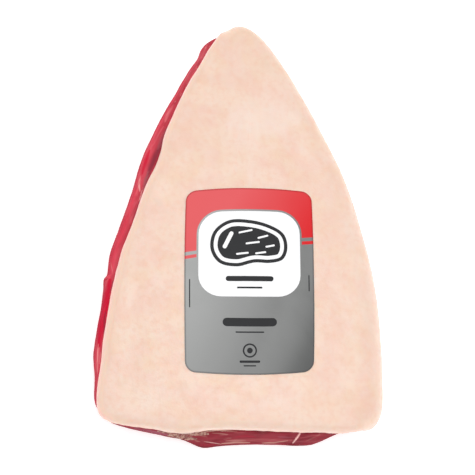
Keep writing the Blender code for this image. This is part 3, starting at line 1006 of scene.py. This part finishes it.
def lean_marked(nodes, colour, grain, fibres, bands):
    """The meat's colour with its painted marks over it."""
    cut = nodes.value("cut")
    # Painted highlights on the wet crests.
    gloss = nodes.math("MULTIPLY", nodes.value("gloss"), nodes.between(fibres, 0.3, 0.62, 0.25, 1.0))
    colour = nodes.over(colour, nodes.mix(cut, *LEAN_HIGHLIGHT), gloss, 0.8)
    vivid = nodes.math("MULTIPLY", nodes.value("vivid"), nodes.between(fibres, 0.2, 0.6, 0.7, 1.0))
    # The freshest red in painted shade and painted light, chosen between by the lit value.
    freshest = nodes.mix(cut, nodes.mix(nodes.value("lit"), *LEAN_FRESHEST), LEAN_FRESHEST_CUT)
    colour = nodes.over(colour, freshest, vivid, 0.95)
    # Painted shade in hollows and folds and painted shadow under the fat's edge.
    colour = nodes.over(colour, nodes.mix(cut, *LEAN_HOLLOW_SHADE), nodes.value("dark"), 0.85)
    # Mostly painted purple shade beside the fat, partly thin skin.
    skin_and_shade = nodes.math("MULTIPLY", nodes.value("violet"), nodes.between(bands, 0.3, 0.6, 0.35, 1.0))
    colour = nodes.over(colour, nodes.mix(cut, *LEAN_SKIN_AND_SHADE), skin_and_shade, 0.85)
    rags, shreds = nodes.scaled(grain, RAG_WAVES), nodes.scaled(grain, SHRED_WAVES)
    colour = nodes.torn_over(colour, LEAN_MEMBRANE, rags, shreds, 2.6, 0.2, 0.92)
    # Membrane and fat, and a few painted glints on the lobes.
    pale = nodes.math("MULTIPLY", nodes.value("pale"), nodes.between(fibres, 0.3, 0.6, 0.2, 1.0))
    colour = nodes.mix(pale, colour, nodes.mix(cut, *LEAN_PALE))
    return nodes.mix(nodes.value("sinew"), colour, LEAN_TENDON)


def lean_material():
    nodes = Nodes("raw_beef")
    grain = nodes.vector("grain")
    along = nodes.noise(nodes.scaled(grain, FIBRE_WAVES), 1.0, 4.0, 0.6)
    below = nodes.noise(nodes.place(UNDER_WAVES), 1.0, 4.0, 0.6)
    fibres = nodes.blend(nodes.value("under"), along, below)
    bands = nodes.noise(nodes.scaled(grain, BAND_WAVES), 1.0, 2.0)
    colour = lean_flesh(nodes, grain, fibres, bands)
    colour = lean_marked(nodes, colour, grain, fibres, bands)
    nodes.shader.subsurface_method = "RANDOM_WALK"
    return nodes.finish(
        base_color=colour,
        roughness=nodes.between(fibres, 0.3, 0.7, 0.28, 0.45),
        specular_ior_level=0.0,
        coat_weight=0.06,
        coat_roughness=0.2,
        subsurface_weight=0.12,
        subsurface_radius=(0.0016, 0.0004, 0.0003),
        subsurface_scale=1.0,
        normal=nodes.bump(fibres, 0.35, 0.0004),
    )


# The slant along which the printed colours change, in a painted reflection, is x and this much of y. The
# soft streaks across it, in waves a metre, are a painted sheen this much brighter, and the cut edge is this
# much of the darker tone.
PRINT_SLANT = -0.5
SHEEN_STREAK_WAVES = 24.0
SHEEN_STREAK_TONE = 1.18
EDGE_TONE = 0.45
PRINT_ROUGHNESS = 0.38


def print_material(name, left, right, start, end, metallic, shine):
    """A printed colour, its painted reflection changing along the label's slant, darker at its cut edge."""
    nodes = Nodes(name)
    x, y, _ = nodes.make("SeparateXYZ", {0: nodes.place()})
    slant = nodes.math("ADD", x, nodes.math("MULTIPLY", y, PRINT_SLANT))
    colour = nodes.mix(nodes.make("MapRange", {0: slant, 1: start, 2: end})[0], left, right)
    sheen_streaks = nodes.noise(nodes.make("CombineXYZ", {0: slant})[0], SHEEN_STREAK_WAVES, 1.0)
    brighter = tuple(min(1.0, SHEEN_STREAK_TONE * value) for value in left)
    colour = nodes.mix(nodes.between(sheen_streaks, 0.45, 0.75, 0.0, 0.12), colour, brighter)
    darker = tuple(EDGE_TONE * value for value in right)
    colour = nodes.mix(nodes.between(nodes.value("edge"), 0.1, 1.3, 0.6, 0.0), colour, darker)
    return nodes.finish(
        base_color=colour, metallic=metallic, roughness=PRINT_ROUGHNESS, specular_ior_level=shine
    )


# The surroundings.

FLOOR_REACH = 4.0
FLOOR_TONES = ((0.9, 0.9, 0.9), (0.91, 0.91, 0.91))
FLOOR_GLOW = 0.6
WORLD_LIGHT = 0.76
# The lights: the place, the size in metres and the power in watts.
LIGHTS = {
    "key": ((0.1, 0.42, 1.5), 1.0, 7.2),
    "fill": ((0.4, -0.55, 1.4), 1.2, 4.2),
}


def make_floor():
    mesh = bmesh.new()
    bmesh.ops.create_grid(mesh, x_segments=1, y_segments=1, size=FLOOR_REACH)
    data = bpy.data.meshes.new("floor")
    mesh.to_mesh(data)
    mesh.free()
    nodes = Nodes("pale_floor")
    shade = nodes.mix(nodes.noise(nodes.place(), 3.0, 1.0), *FLOOR_TONES)
    data.materials.append(
        nodes.finish(base_color=shade, roughness=0.9, emission_color=shade, emission_strength=FLOOR_GLOW)
    )
    floor = bpy.data.objects.new("floor", data)
    bpy.context.scene.collection.objects.link(floor)


def make_light(name, place, size, power):
    data = bpy.data.lights.new(name, "AREA")
    data.shape = "DISK"
    data.size = size
    data.energy = power
    light = bpy.data.objects.new(name, data)
    light.location = place
    light.rotation_euler = (-Vector(place)).to_track_quat("-Z", "Y").to_euler()
    bpy.context.scene.collection.objects.link(light)


def make_surroundings():
    make_floor()
    world = bpy.data.worlds.new("studio")
    world.use_nodes = True
    background = world.node_tree.nodes["Background"]
    background.inputs["Color"].default_value = (1.0, 1.0, 1.0, 1.0)
    background.inputs["Strength"].default_value = WORLD_LIGHT
    bpy.context.scene.world = world
    for name, values in LIGHTS.items():
        make_light(name, *values)
    bpy.context.scene.view_settings.view_transform = "Standard"


make_camera()
lean_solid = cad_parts["lean_meat"].data
fat_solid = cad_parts["fat_cap"].data
fat_outline = Outline(points_of(fat_solid))
lean = dress_lean(fat_outline, tree_of(fat_solid))
fat = dress_fat(fat_outline, tree_of(lean_solid))
label = dress_label(tree_of(fat.data))
for piece, node in ((lean, "lean_meat"), (fat, "fat_cap"), (label, "label")):
    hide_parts(node)
    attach(piece, "root")
make_surroundings()
